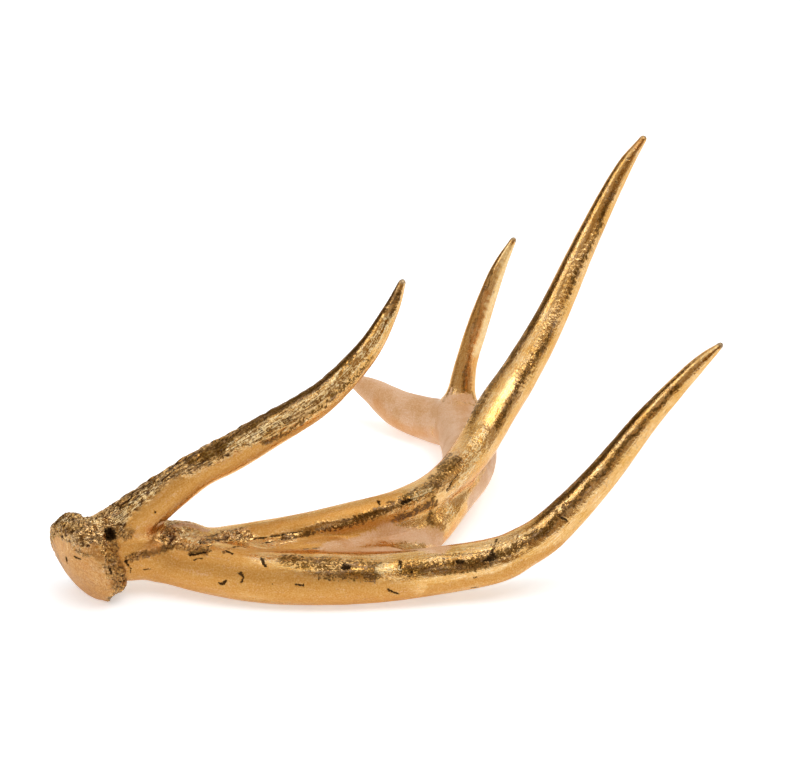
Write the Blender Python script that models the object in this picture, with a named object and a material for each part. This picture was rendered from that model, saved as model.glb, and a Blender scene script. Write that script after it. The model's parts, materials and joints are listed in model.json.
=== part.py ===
# Gilded elk antler, shed, lying on a table on its burr, the root of its bez tine and its rear fork.
# Metres, +Z up. The origin is on the table, under the middle of the antler's bounding box.
# The burr is at -X. The brow and bez tines run towards +X, and the main beam sweeps back to +Y.
# It grew as one piece of bone, and is parted here at its main forks with a thin gap at each.

import math
import random

import bmesh
import bpy
import numpy as np
from mathutils import Vector

MM = 0.001

# Centre lines of the limbs as they grow, in millimetres: x, y, z and the radius there.
ROUTES = {
    "beam": [
        (-269, -214, 44, 27.5), (-249, -203, 37.5, 28), (-224, -197, 35, 26.5),
        (-187, -191, 31, 24.5), (-139, -193, 28, 22), (-82, -191, 25, 18), (-25, -185, 24, 16.5),
        (18, -169, 23, 16.5), (44, -131, 28, 18.5), (65, -71, 37, 23), (84, 7, 35, 27.5),
        (88, 85, 30, 30), (79, 147, 30, 28),
    ],
    "knuckle": [(-224, -195, 40, 22.5), (-191, -185, 39, 19), (-178, -185, 35, 16)],
    "bez": [
        (-210, -201, 28, 21.5), (-161, -218, 27.5, 25.5), (-113, -229, 24, 25),
        (-61, -233, 24, 25), (-10, -231, 24, 23.5), (41, -225, 27, 22.5), (99, -217, 34, 21.5),
        (128, -211, 45, 19.5), (156, -205, 63, 18), (200, -193, 108, 15), (243, -181, 162, 11.5),
        (287, -171, 210, 7.5), (310, -165, 230, 3),
    ],
    "web": [
        (-120, -208, 27, 11), (-82, -205, 24, 14.5), (-34, -203, 25, 16), (4, -197, 25, 15),
        (26, -182, 24, 13),
    ],
    "ridge_web": [
        (-64, -184, 38, 15), (-24, -174, 42, 13.5), (16, -152, 43, 13), (44, -114, 48, 15),
    ],
    "trez": [
        (-165, -189, 36, 18), (-134, -189, 41, 18), (-82, -185, 51, 16), (-35, -173, 58, 15.5),
        (13, -149, 61, 16), (53, -105, 64, 17), (85, -41, 71, 20), (115, 13, 101, 21.5),
        (141, 47, 129, 20), (174, 83, 177, 17), (213, 117, 254, 13), (250, 143, 322, 9),
        (274, 157, 355, 4),
    ],
    "brow": [
        (-257, -208, 58, 22), (-226, -202, 80, 20.5), (-178, -193, 114, 17), (-146, -188, 130, 17),
        (-118, -183, 146, 16.5), (-62, -173, 179, 14.5), (-20, -161, 220, 11.5),
        (4, -149, 258, 7.5), (15, -143, 284, 3.5),
    ],
    "point": [
        (81, 151, 29, 28.5), (52, 175, 24.5, 25.5), (18, 201, 26, 22.5), (1, 215, 31, 19.5),
        (-15, 229, 38, 15.5), (-31, 242, 43, 11), (-47, 257, 45, 4.5),
    ],
    "rear": [
        (77, 149, 33, 22.5), (82, 159, 64, 16), (88, 169, 97, 12.5), (99, 177, 133, 12),
        (111, 185, 168, 10.5), (124, 193, 201, 8), (140, 201, 231, 3.5),
    ],
}

# How softly each limb runs into the ones before it, in millimetres.
FILLETS = {
    "knuckle": 6, "bez": 8, "web": 16, "ridge_web": 8, "trez": 4, "brow": 12, "point": 8, "rear": 14,
}

# The burr: a thick rough coronet round the root, ending in the slightly domed shed face.
BURR_OUTWARD = (-0.698, -0.633, -0.335)
SHED_FACE_CENTRE = (-286, -225.5, 36.8)
CORONET_RADIUS = 43
CORONET_THICKNESS = 19
CORONET_EDGE = 4
CORONET_FILLET = 9
SHED_FACE_RADIUS = 41
SHED_FACE_DOME = 10
SHED_FACE_DROP = 3
KNOB_ROWS = (-5, -11, -17)
KNOB_COUNT = 19
KNOB_RADIUS = 4.5
KNOB_FILLET = 3
KNOB_SEED = 7

# A small natural hole where the brow tine leaves the burr.
PIT_CENTRE = (-256, -229, 66.5)
PIT_RADIUS = 5

# Where the pieces part: the limb, how far along its centre line, and how far the cut reaches
# from there, in millimetres.
FORK_CUTS = {
    "burr": ("beam", 84, 51),
    "brow": ("brow", 66, 32),
    "bez": ("bez", 285, 37),
    "trez": ("trez", 372, 38),
    "beam": ("beam", 492, 42),
    "point": ("point", 34, 43),
    "rear": ("rear", 38, 26),
}
FORK_GAP = 0.3

# Each piece is known by a place that lies in it: the limb, and how far along it, in millimetres.
PIECES = {
    "burr": ("beam", 20),
    "lower_beam": ("beam", 300),
    "brow_tine": ("brow", 250),
    "bez_tine": ("bez", 480),
    "trez_tine": ("trez", 600),
    "upper_beam": ("beam", 540),
    "beam_point": ("point", 120),
    "rear_tine": ("rear", 150),
}

ROUTE_STEPS = 8
TUBE_SIDES = 3
BLANK_VOXEL = 2.6
SETTLE_ROUNDS = 5
FACE_TARGET = 8100
SHADE_ANGLE = 50
GOLD_LEAF = (0.74, 0.44, 0.13, 1.0)


def clear_scene():
    for item in list(bpy.data.objects):
        bpy.data.objects.remove(item)


def smooth_route(name):
    """The limb's centre line as a smooth curve through its own points, in metres."""
    knots = np.array(ROUTES[name], dtype=float) * MM
    knots = np.vstack([2 * knots[0] - knots[1], knots, 2 * knots[-1] - knots[-2]])
    line = []
    for before, start, end, after in zip(knots, knots[1:], knots[2:], knots[3:]):
        for step in range(ROUTE_STEPS):
            t = step / ROUTE_STEPS
            line.append(0.5 * (2 * start + (end - before) * t
                               + (2 * before - 5 * start + 4 * end - after) * t ** 2
                               + (3 * start - before - 3 * end + after) * t ** 3))
    line.append(knots[-2])
    return np.array(line)


def place_along(name, distance_mm):
    """A point on a limb's centre line, and the direction of growth there."""
    line = smooth_route(name)
    lengths = np.linalg.norm(np.diff(line[:, :3], axis=0), axis=1)
    run = np.concatenate([[0.0], np.cumsum(lengths)])
    index = min(int(np.searchsorted(run, distance_mm * MM)), len(line) - 1)
    index = max(index, 1)
    direction = Vector(line[index, :3] - line[index - 1, :3]).normalized()
    return Vector(line[index, :3]), direction


def limb_tube(name):
    """A curve along the limb, bevelled to its radius, as a first rough body."""
    line = smooth_route(name)
    curve = bpy.data.curves.new(name + "_curve", "CURVE")
    curve.dimensions = "3D"
    curve.bevel_depth = 1.0
    curve.bevel_resolution = TUBE_SIDES
    curve.use_fill_caps = True
    spline = curve.splines.new("POLY")
    spline.points.add(len(line) - 1)
    for point, (x, y, z, radius) in zip(spline.points, line):
        point.co = (x, y, z, 1.0)
        point.radius = radius
    return bpy.data.objects.new(name + "_curve", curve)


def burr_disc():
    """The burr as a plain thick disc, as a first rough body."""
    mesh = bpy.data.meshes.new("burr_disc")
    shape = bmesh.new()
    radius = CORONET_RADIUS * MM
    bmesh.ops.create_cone(shape, cap_ends=True, segments=32, radius1=radius, radius2=radius,
                          depth=CORONET_THICKNESS * MM)
    outward = Vector(BURR_OUTWARD).normalized()
    turn = outward.to_track_quat("Z", "Y").to_matrix().to_4x4()
    middle = (Vector(SHED_FACE_CENTRE) - outward * CORONET_THICKNESS / 2) * MM
    bmesh.ops.transform(shape, matrix=turn, verts=shape.verts)
    bmesh.ops.translate(shape, vec=middle, verts=shape.verts)
    shape.to_mesh(mesh)
    shape.free()
    return bpy.data.objects.new("burr_disc", mesh)


def evaluated_copy(item):
    """A plain mesh of an object as its modifiers leave it."""
    graph = bpy.context.evaluated_depsgraph_get()
    return bpy.data.meshes.new_from_object(item.evaluated_get(graph))


def rough_blank():
    """All the rough bodies grown together into one closed skin."""
    shape = bmesh.new()
    for item in [limb_tube(name) for name in ROUTES] + [burr_disc()]:
        bpy.context.scene.collection.objects.link(item)
        body = evaluated_copy(item)
        shape.from_mesh(body)
        bpy.data.objects.remove(item)
    mesh = bpy.data.meshes.new("blank")
    shape.to_mesh(mesh)
    shape.free()
    blank = bpy.data.objects.new("blank", mesh)
    bpy.context.scene.collection.objects.link(blank)
    remesh = blank.modifiers.new("grow together", "REMESH")
    remesh.mode = "VOXEL"
    remesh.voxel_size = BLANK_VOXEL * MM
    skin = evaluated_copy(blank)
    bpy.data.objects.remove(blank)
    return skin


def limb_gap(points, line):
    """How far each point is outside a limb of round section. Inside it is negative."""
    gap = np.full(len(points), np.inf)
    for start, end in zip(line[:-1], line[1:]):
        axis = end[:3] - start[:3]
        along = np.clip((points - start[:3]) @ axis / (axis @ axis), 0.0, 1.0)
        centre = start[:3] + along[:, None] * axis
        radius = start[3] + along * (end[3] - start[3])
        gap = np.minimum(gap, np.linalg.norm(points - centre, axis=1) - radius)
    return gap


def soft_union(first, second, fillet):
    """Two gaps joined, with a fillet of this size where the bodies meet."""
    share = np.clip(0.5 + 0.5 * (second - first) / fillet, 0.0, 1.0)
    return second + (first - second) * share - fillet * share * (1.0 - share)


def coronet_gap(spread, height):
    """How far outside the plain coronet, from the spread and height off the shed face."""
    edge = CORONET_EDGE * MM
    half = CORONET_THICKNESS / 2 * MM
    over_rim = np.maximum(spread - (CORONET_RADIUS * MM - edge), 0.0)
    over_face = np.maximum(np.abs(height + half) - (half - edge), 0.0)
    return np.hypot(over_rim, over_face) - edge


def shed_face_gap(spread, height):
    """How far outside the low dome of the shed face."""
    wide = SHED_FACE_RADIUS * MM
    deep = SHED_FACE_DOME * MM
    return (np.hypot(spread / wide, height / deep) - 1.0) * deep


def spread_and_height(points, centre, outward):
    """How far points lie from an axis, and how far out along it from its centre."""
    offset = points - centre
    height = offset @ outward
    return np.linalg.norm(offset - height[:, None] * outward, axis=1), height


def burr_gap(points):
    """The coronet, the shed face and the knobs round the rim."""
    outward = np.array(Vector(BURR_OUTWARD).normalized())
    across = np.cross(outward, (0.0, 0.0, 1.0))
    across /= np.linalg.norm(across)
    upward = np.cross(across, outward)
    centre = np.array(SHED_FACE_CENTRE) * MM
    gap = coronet_gap(*spread_and_height(points, centre, outward))
    low_centre = centre - upward * SHED_FACE_DROP * MM
    face = shed_face_gap(*spread_and_height(points, low_centre, outward))
    gap = soft_union(gap, face, KNOB_FILLET * MM)
    chance = random.Random(KNOB_SEED)
    for height_mm in KNOB_ROWS:
        for number in range(KNOB_COUNT):
            angle = 2 * math.pi * (number + chance.uniform(0, 0.9)) / KNOB_COUNT
            rim = (CORONET_RADIUS - chance.uniform(2.0, 4.0)) * MM
            knob = centre + outward * (height_mm + chance.uniform(-1.5, 1.5)) * MM
            knob = knob + rim * (math.cos(angle) * across + math.sin(angle) * upward)
            radius = KNOB_RADIUS * chance.uniform(0.8, 1.1) * MM
            gap = soft_union(gap, np.linalg.norm(points - knob, axis=1) - radius, KNOB_FILLET * MM)
    return gap


def antler_gap(points, lines):
    """How far each point is outside the whole antler."""
    gap = limb_gap(points, lines["beam"])
    for name, fillet in FILLETS.items():
        gap = soft_union(gap, limb_gap(points, lines[name]), fillet * MM)
    gap = soft_union(gap, burr_gap(points), CORONET_FILLET * MM)
    pit = np.linalg.norm(points - np.array(PIT_CENTRE) * MM, axis=1) - PIT_RADIUS * MM
    return np.maximum(gap, -pit)


def settle_on_form(mesh):
    """Moves the rough skin onto the antler's true form."""
    lines = {name: smooth_route(name) for name in ROUTES}
    points = np.empty(len(mesh.vertices) * 3)
    normals = np.empty(len(mesh.vertices) * 3)
    for _ in range(SETTLE_ROUNDS):
        mesh.vertices.foreach_get("co", points)
        mesh.vertex_normals.foreach_get("vector", normals)
        places = points.reshape(-1, 3)
        step = np.clip(antler_gap(places, lines), -4 * MM, 4 * MM)
        places -= normals.reshape(-1, 3) * step[:, None]
        mesh.vertices.foreach_set("co", places.ravel())
        mesh.update()


def lightened(mesh):
    """The same skin with few faces: small ones on tips and knobs, large ones on smooth limbs."""
    item = bpy.data.objects.new("skin", mesh)
    bpy.context.scene.collection.objects.link(item)
    decimate = item.modifiers.new("lighten", "DECIMATE")
    decimate.ratio = FACE_TARGET / (2 * len(mesh.polygons))
    decimate.use_collapse_triangulate = True
    light = evaluated_copy(item)
    bpy.data.objects.remove(item)
    return light


def cut_and_cap(shape, faces, point, normal, clear_outer):
    """Cuts the given faces with a plane. Where one side is cleared, the cut is capped flat."""
    geometry = dict.fromkeys(faces)
    for face in faces:
        geometry.update(dict.fromkeys(face.edges))
        geometry.update(dict.fromkeys(face.verts))
    bmesh.ops.bisect_plane(shape, geom=list(geometry), dist=1e-7, plane_co=point,
                           plane_no=normal, clear_outer=clear_outer)
    if clear_outer:
        rims = [edge for edge in shape.edges if edge.is_boundary]
        bmesh.ops.holes_fill(shape, edges=rims, sides=0)


def rest_on_table(shape):
    """Takes the underside off flat, where the antler lies on the table."""
    cut_and_cap(shape, list(shape.faces), Vector((0, 0, 0)), Vector((0, 0, -1)), True)


def part_at_fork(shape, limb, distance_mm, reach_mm):
    """Parts the antler across one limb, leaves the fork gap and caps both ends flat."""
    centre, direction = place_along(limb, distance_mm)
    reach = reach_mm * MM
    half_gap = direction * (FORK_GAP * MM / 2)
    for offset in (half_gap, -half_gap):
        near = [face for face in shape.faces
                if (face.calc_center_median() - centre).length < reach]
        cut_and_cap(shape, near, centre + offset, direction, False)
    within = FORK_GAP * MM / 2 + 1e-6
    sliver = [face for face in shape.faces
              if (face.calc_center_median() - centre).length < reach
              and all(abs((vert.co - centre).dot(direction)) < within for vert in face.verts)]
    bmesh.ops.delete(shape, geom=sliver, context="FACES")
    rims = [edge for edge in shape.edges if edge.is_boundary]
    bmesh.ops.holes_fill(shape, edges=rims, sides=0)


def islands(shape):
    """The separate closed bodies in the shape, each as a list of faces."""
    taken = set()
    for first in shape.faces:
        if first in taken:
            continue
        taken.add(first)
        group = [first]
        for face in group:
            for edge in face.edges:
                for neighbour in edge.link_faces:
                    if neighbour not in taken:
                        taken.add(neighbour)
                        group.append(neighbour)
        yield group


def piece_name(group):
    """The name of the piece whose known place lies nearest to this body."""
    corners = {vert for face in group for vert in face.verts}
    best = None
    for name, (limb, distance_mm) in PIECES.items():
        place = place_along(limb, distance_mm)[0]
        near = min((vert.co - place).length for vert in corners)
        if best is None or near < best[0]:
            best = (near, name)
    return best[1]


def gold_leaf(name):
    """Warm gold leaf, burnished on an uneven ground."""
    material = bpy.data.materials.new(name + "_gold_leaf")
    material.use_nodes = True
    shader = material.node_tree.nodes["Principled BSDF"]
    shader.inputs["Base Color"].default_value = GOLD_LEAF
    shader.inputs["Metallic"].default_value = 1.0
    shader.inputs["Roughness"].default_value = 0.32
    return material


def add_piece(group):
    """One body as its own named object, smooth but for its flat ends."""
    name = piece_name(group)
    shape = bmesh.new()
    copies = {}
    for face in group:
        for vert in face.verts:
            if vert not in copies:
                copies[vert] = shape.verts.new(vert.co)
        shape.faces.new([copies[vert] for vert in face.verts])
    bmesh.ops.recalc_face_normals(shape, faces=shape.faces)
    bmesh.ops.triangulate(shape, faces=shape.faces)
    mesh = bpy.data.meshes.new(name)
    shape.to_mesh(mesh)
    shape.free()
    mesh.shade_smooth()
    mesh.set_sharp_from_angle(angle=math.radians(SHADE_ANGLE))
    mesh.materials.append(gold_leaf(name))
    item = bpy.data.objects.new(name, mesh)
    bpy.context.scene.collection.objects.link(item)
    return item


def main():
    clear_scene()
    skin = rough_blank()
    settle_on_form(skin)
    antler = bmesh.new()
    antler.from_mesh(lightened(skin))
    rest_on_table(antler)
    for limb, distance_mm, reach_mm in FORK_CUTS.values():
        part_at_fork(antler, limb, distance_mm, reach_mm)
    for group in sorted(islands(antler), key=len, reverse=True):
        add_piece(group)
    antler.free()


main()
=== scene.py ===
import json
import math
import random
from functools import partial

import bmesh
import bpy
import numpy as np
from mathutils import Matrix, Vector
from mathutils.bvhtree import BVHTree

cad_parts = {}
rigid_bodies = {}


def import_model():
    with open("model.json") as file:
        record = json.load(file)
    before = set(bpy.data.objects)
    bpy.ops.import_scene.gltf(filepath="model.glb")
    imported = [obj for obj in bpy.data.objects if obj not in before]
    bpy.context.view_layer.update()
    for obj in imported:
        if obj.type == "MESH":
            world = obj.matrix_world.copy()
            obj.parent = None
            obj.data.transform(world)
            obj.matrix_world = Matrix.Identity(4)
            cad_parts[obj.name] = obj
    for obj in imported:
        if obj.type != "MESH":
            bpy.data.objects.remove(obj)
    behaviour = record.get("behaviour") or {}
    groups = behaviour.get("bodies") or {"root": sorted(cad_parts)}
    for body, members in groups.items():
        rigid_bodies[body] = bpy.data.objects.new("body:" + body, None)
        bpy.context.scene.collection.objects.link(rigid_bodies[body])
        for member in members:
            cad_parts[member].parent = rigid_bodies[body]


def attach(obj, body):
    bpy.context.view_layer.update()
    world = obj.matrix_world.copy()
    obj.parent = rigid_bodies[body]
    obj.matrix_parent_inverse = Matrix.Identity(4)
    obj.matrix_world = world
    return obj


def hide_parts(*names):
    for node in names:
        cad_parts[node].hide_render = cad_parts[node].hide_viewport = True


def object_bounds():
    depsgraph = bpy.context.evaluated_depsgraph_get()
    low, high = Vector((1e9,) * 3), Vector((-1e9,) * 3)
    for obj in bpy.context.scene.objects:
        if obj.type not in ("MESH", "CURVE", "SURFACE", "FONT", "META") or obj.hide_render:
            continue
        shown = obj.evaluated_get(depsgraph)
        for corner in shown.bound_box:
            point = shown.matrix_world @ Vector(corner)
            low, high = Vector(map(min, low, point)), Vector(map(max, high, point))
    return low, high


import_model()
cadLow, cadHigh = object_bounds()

mm = 0.001


# small helpers

def linear(hexText):  # an sRGB hex value as a linear colour
    parts = [int(hexText[i:i + 2], 16) / 255 for i in (1, 3, 5)]
    return [p / 12.92 if p <= 0.04045 else ((p + 0.055) / 1.055) ** 2.4 for p in parts] + [1.0]


def setInputs(tree, node, inputs):  # plain values are set; a socket, or a node's first output, is linked
    pairs = inputs.items() if isinstance(inputs, dict) else enumerate(inputs)
    for key, value in pairs:
        if isinstance(value, bpy.types.Node):
            value = value.outputs[0]
        if isinstance(value, bpy.types.NodeSocket):
            tree.links.new(value, node.inputs[key])
        else:
            node.inputs[key].default_value = value


def addNode(tree, kind, inputs=(), **settings):  # one node with its settings and links
    node = tree.nodes.new(kind)
    for name, value in settings.items():
        setattr(node, name, value)
    setInputs(tree, node, inputs)
    return node


def weighedSum(tree, start, *terms):  # start plus each value times its share
    for value, share in terms:
        part = addNode(tree, "ShaderNodeMath", (value, share), operation="MULTIPLY")
        start = addNode(tree, "ShaderNodeMath", (start, part), operation="ADD")
    return start


def layered(tree, colour, *layers):  # each layer covers what lies under it, by its mask and strength
    for mask, strength, tint in layers:
        cover = addNode(tree, "ShaderNodeMath", (mask, strength), operation="MULTIPLY")
        mixed = addNode(tree, "ShaderNodeMix", {0: cover, 6: colour, 7: tint}, data_type="RGBA")
        colour = mixed.outputs[2]
    return colour


def smoothStep(values, low, high):  # 0 below low, 1 above high
    t = np.clip((values - low) / (high - low), 0.0, 1.0)
    return t * t * (3 - 2 * t)


def link(item):
    bpy.context.scene.collection.objects.link(item)
    return item


def plainCopy(item):  # a mesh of the object as its modifiers leave it
    graph = bpy.context.evaluated_depsgraph_get()
    return bpy.data.meshes.new_from_object(item.evaluated_get(graph))


# the camera stands as in the photograph and looks down on the antler
camera = {
    "place": (0.013, -1.727, 0.7569),  # metres
    "tiltDown": 20,  # degrees
    "lens": 80,  # mm
    "sensor": 36,  # mm
    "picture": (800, 775),  # pixels
    "farthest": 100,  # metres that it sees
}


def makeCamera(c):
    data = bpy.data.cameras.new("camera")
    data.lens = c["lens"]
    data.sensor_width = c["sensor"]
    data.clip_end = c["farthest"]
    item = link(bpy.data.objects.new("camera", data))
    item.location = c["place"]
    item.rotation_euler = (math.radians(90 - c["tiltDown"]), 0, 0)
    bpy.context.scene.camera = item


def pixelRay(c, x, y):  # the line of sight through a pixel of the picture
    tilt = math.radians(c["tiltDown"])
    focal = c["lens"] / c["sensor"] * c["picture"][0]
    ahead = Vector((0, math.cos(tilt), -math.sin(tilt)))
    up = Vector((0, math.sin(tilt), math.cos(tilt)))
    across = (x - c["picture"][0] / 2) / focal
    rise = (c["picture"][1] / 2 - y) / focal
    return (ahead + Vector((across, 0, 0)) + up * rise).normalized()


# centre lines of the limbs as in the solids: x, y, z and radius in mm;
# the fillet, in mm too, rounds a limb's join with those above it in the list
limbs = {
    "beam": {"fillet": 0, "route": [
        (-269, -214, 44, 27.5), (-249, -203, 37.5, 28), (-224, -197, 35, 26.5),
        (-187, -191, 31, 24.5), (-139, -193, 28, 22), (-82, -191, 25, 18), (-25, -185, 24, 16.5),
        (18, -169, 23, 16.5), (44, -131, 28, 18.5), (65, -71, 37, 23), (84, 7, 35, 27.5),
        (88, 85, 30, 30), (79, 147, 30, 28)]},
    "knuckle": {"fillet": 6, "route": [
        (-224, -195, 40, 22.5), (-191, -185, 39, 19), (-178, -185, 35, 16)]},
    "bez": {"fillet": 8, "route": [
        (-210, -201, 28, 21.5), (-161, -218, 27.5, 25.5), (-113, -229, 24, 25),
        (-61, -233, 24, 25), (-10, -231, 24, 23.5), (41, -225, 27, 22.5), (99, -217, 34, 21.5),
        (128, -211, 45, 19.5), (156, -205, 63, 18), (200, -193, 108, 15), (243, -181, 162, 11.5),
        (287, -171, 210, 7.5), (310, -165, 230, 3)]},
    "web": {"fillet": 16, "route": [
        (-120, -208, 27, 11), (-82, -205, 24, 14.5), (-34, -203, 25, 16), (4, -197, 25, 15),
        (26, -182, 24, 13)]},
    "ridgeWeb": {"fillet": 8, "route": [
        (-64, -184, 38, 15), (-24, -174, 42, 13.5), (16, -152, 43, 13), (44, -114, 48, 15)]},
    "trez": {"fillet": 4, "route": [
        (-165, -189, 36, 18), (-134, -189, 41, 18), (-82, -185, 51, 16), (-35, -173, 58, 15.5),
        (13, -149, 61, 16), (53, -105, 64, 17), (85, -41, 71, 20), (115, 13, 101, 21.5),
        (141, 47, 129, 20), (174, 83, 177, 17), (213, 117, 254, 13), (250, 143, 322, 9),
        (274, 157, 355, 4)]},
    "brow": {"fillet": 12, "route": [
        (-257, -208, 58, 22), (-226, -202, 80, 20.5), (-178, -193, 114, 17), (-146, -188, 130, 17),
        (-118, -183, 146, 16.5), (-62, -173, 179, 14.5), (-20, -161, 220, 11.5),
        (4, -149, 258, 7.5), (15, -143, 284, 3.5)]},
    "shelf": {"fillet": 9, "route": [
        (-138, -206, 36, 11), (-104, -207, 39, 11.5), (-74, -205, 40, 10.5), (-48, -202, 40, 8)]},
    "collar": {"fillet": 6, "route": [
        (-288, -224, 69, 6.5), (-273, -217, 71.5, 7), (-259, -210, 74, 8)]},
    "point": {"fillet": 8, "route": [
        (81, 151, 29, 28.5), (52, 175, 24.5, 25.5), (18, 201, 26, 22.5), (1, 215, 31, 19.5),
        (-15, 229, 38, 15.5), (-31, 242, 43, 11), (-47, 257, 45, 4.5)]},
    "rear": {"fillet": 14, "route": [
        (77, 149, 33, 22.5), (82, 159, 64, 16), (88, 169, 97, 12.5), (99, 177, 133, 12),
        (111, 185, 168, 10.5), (124, 193, 201, 8), (140, 201, 231, 3.5)]},
}

skin = {
    "voxel": 1.15,  # mm between the points of the fine skin
    "routeSteps": 8,  # steps of the smooth curve between two points of a route
    "tubeSteps": 4,  # roundness of the first rough tubes
    "discSides": 48,  # and of the burr's first rough disc
    "settleRounds": 5,
    "settleStep": 3,  # mm that a point moves at most in one round
    "smoothRounds": 3,
    "smoothShare": 0.5,
    "reach": 24,  # mm round a limb within which it counts
    "stretch": 8,  # steps of a route that are measured together
    "mostFaces": 190000,  # triangles in one piece
    "sharpAngle": 60,  # degrees, past which an edge stays sharp
    "inset": 1e-5,  # metres kept inside the solids' box
}

burr = {
    "outward": (-0.698, -0.633, -0.335),  # the way that the shed face looks
    "faceCentre": (-286, -225.5, 36.8),  # sizes and places in mm
    "radius": 42.5,
    "thickness": 19,
    "edge": 4,  # rounding of its rim
    "fillet": 9,  # rounding where it joins the beam
    "faceRadius": 40.5,
    "faceDome": 9.6,  # how far the face bulges
    "faceDrop": 3,  # how far the dome sits below the middle
    "knobRows": (-5, -11, -17),  # heights of the rows of knobs, from the face back
    "knobCount": 19,  # knobs in a row
    "knobShift": 0.9,  # how unevenly they stand, as a share of their spacing
    "knobInset": (2.0, 4.0),  # how deep they sit in the rim
    "knobRise": 1.5,  # how far they stray from their row
    "knobRadius": 4.5,
    "knobSizes": (0.8, 1.1),  # from the smallest to the largest share of that radius
    "knobFillet": 3,
    "seed": 7,
    "limit": -0.2,  # metres in x, right of which nothing belongs to the burr
}

# the blind hole beside the coronet, in mm
pit = {"centre": (-256, -229, 66.5), "radius": 5}


def smoothRoute(name):  # the limb's own points joined by a smooth curve, in metres
    knots = np.array(limbs[name]["route"], dtype=float) * mm
    knots = np.vstack([2 * knots[0] - knots[1], knots, 2 * knots[-1] - knots[-2]])
    line = []
    for before, start, end, after in zip(knots, knots[1:], knots[2:], knots[3:]):
        for step in range(skin["routeSteps"]):
            t = step / skin["routeSteps"]
            line.append(0.5 * (2 * start + (end - before) * t
                               + (2 * before - 5 * start + 4 * end - after) * t ** 2
                               + (3 * start - before - 3 * end + after) * t ** 3))
    line.append(knots[-2])
    return np.array(line)


lines = {name: smoothRoute(name) for name in limbs}


def sideVectors(line):  # a side direction at each point, carried along without twisting
    side = np.array((0.0, 0.0, 1.0))
    sides = []
    for start, end in zip(line[:-1, :3], line[1:, :3]):
        axis = (end - start) / np.linalg.norm(end - start)
        side = side - (side @ axis) * axis
        side = side / np.linalg.norm(side)
        sides.append(side)
    return np.array(sides)


# how far each point lies outside a limb, and with wantGrain where it is along and round it
def limbGap(points, name, wantGrain=False):
    line = lines[name]
    reach = skin["reach"] * mm
    gap = np.full(len(points), reach)
    grain = np.zeros((len(points), 3))
    sides = sideVectors(line)
    run = 0.0
    for first in range(0, len(line) - 1, skin["stretch"]):
        stretch = line[first:first + skin["stretch"] + 1]
        low = (stretch[:, :3] - stretch[:, 3:]).min(axis=0) - reach
        high = (stretch[:, :3] + stretch[:, 3:]).max(axis=0) + reach
        near = np.flatnonzero(((points > low) & (points < high)).all(axis=1))
        local = points[near]
        for start, end, side in zip(stretch[:-1], stretch[1:], sides[first:]):
            axis = end[:3] - start[:3]
            length = np.linalg.norm(axis)
            beyond = (local - start[:3]) @ axis / length
            along = np.clip(beyond / length, 0.0, 1.0)
            offset = local - start[:3] - along[:, None] * axis
            here = np.linalg.norm(offset, axis=1) - (start[3] + along * (end[3] - start[3]))
            closer = here < gap[near]
            chosen = near[closer]
            gap[chosen] = here[closer]
            if wantGrain:
                grain[chosen, 0] = run + beyond[closer]
                grain[chosen, 1] = offset[closer] @ side
                grain[chosen, 2] = offset[closer] @ np.cross(axis / length, side)
            run += length
    return (gap, grain) if wantGrain else gap


def shareOf(first, second, fillet):  # how much the first of two gaps counts, 0 to 1
    return np.clip(0.5 + 0.5 * (second - first) / fillet, 0.0, 1.0)


def softUnion(first, second, fillet):  # two gaps joined with a fillet of this size
    share = shareOf(first, second, fillet)
    return second + (first - second) * share - fillet * share * (1.0 - share)


def burrPlace(points, drop=0.0):  # spread and height of points about the burr's own axis
    outward = np.array(Vector(burr["outward"]).normalized())
    across = np.cross(outward, (0.0, 0.0, 1.0))
    across /= np.linalg.norm(across)
    upward = np.cross(across, outward)
    offset = points - (np.array(burr["faceCentre"]) - upward * drop) * mm
    height = offset @ outward
    spread = np.linalg.norm(offset - height[:, None] * outward, axis=1)
    return spread, height, outward, across, upward


def burrGap(points):  # the disc, its domed face and the knobs round its rim
    spread, height, outward, across, upward = burrPlace(points)
    edge = burr["edge"] * mm
    half = burr["thickness"] / 2 * mm
    overRim = np.maximum(spread - (burr["radius"] * mm - edge), 0.0)
    overFace = np.maximum(np.abs(height + half) - (half - edge), 0.0)
    gap = np.hypot(overRim, overFace) - edge
    lowSpread, lowHeight, *_ = burrPlace(points, burr["faceDrop"])
    dome = burr["faceDome"] * mm
    face = (np.hypot(lowSpread / (burr["faceRadius"] * mm), lowHeight / dome) - 1.0) * dome
    gap = softUnion(gap, face, burr["knobFillet"] * mm)
    chance = random.Random(burr["seed"])
    centre = np.array(burr["faceCentre"]) * mm
    for rowHeight in burr["knobRows"]:
        for number in range(burr["knobCount"]):
            angle = 2 * math.pi * (number + chance.uniform(0, burr["knobShift"])) / burr["knobCount"]
            rim = (burr["radius"] - chance.uniform(*burr["knobInset"])) * mm
            knob = centre + outward * (rowHeight + chance.uniform(-burr["knobRise"], burr["knobRise"])) * mm
            knob = knob + rim * (math.cos(angle) * across + math.sin(angle) * upward)
            radius = burr["knobRadius"] * chance.uniform(*burr["knobSizes"]) * mm
            reach = np.linalg.norm(points - knob, axis=1) - radius
            gap = softUnion(gap, reach, burr["knobFillet"] * mm)
    return gap


def antlerGap(points):  # all limbs and the burr grown together, less the pit
    gap = limbGap(points, "beam")
    for name in list(limbs)[1:]:
        gap = softUnion(gap, limbGap(points, name), limbs[name]["fillet"] * mm)
    nearBurr = points[:, 0] < burr["limit"]
    gap[nearBurr] = softUnion(gap[nearBurr], burrGap(points[nearBurr]), burr["fillet"] * mm)
    inPit = np.linalg.norm(points - np.array(pit["centre"]) * mm, axis=1) - pit["radius"] * mm
    return np.maximum(gap, -inPit)


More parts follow.
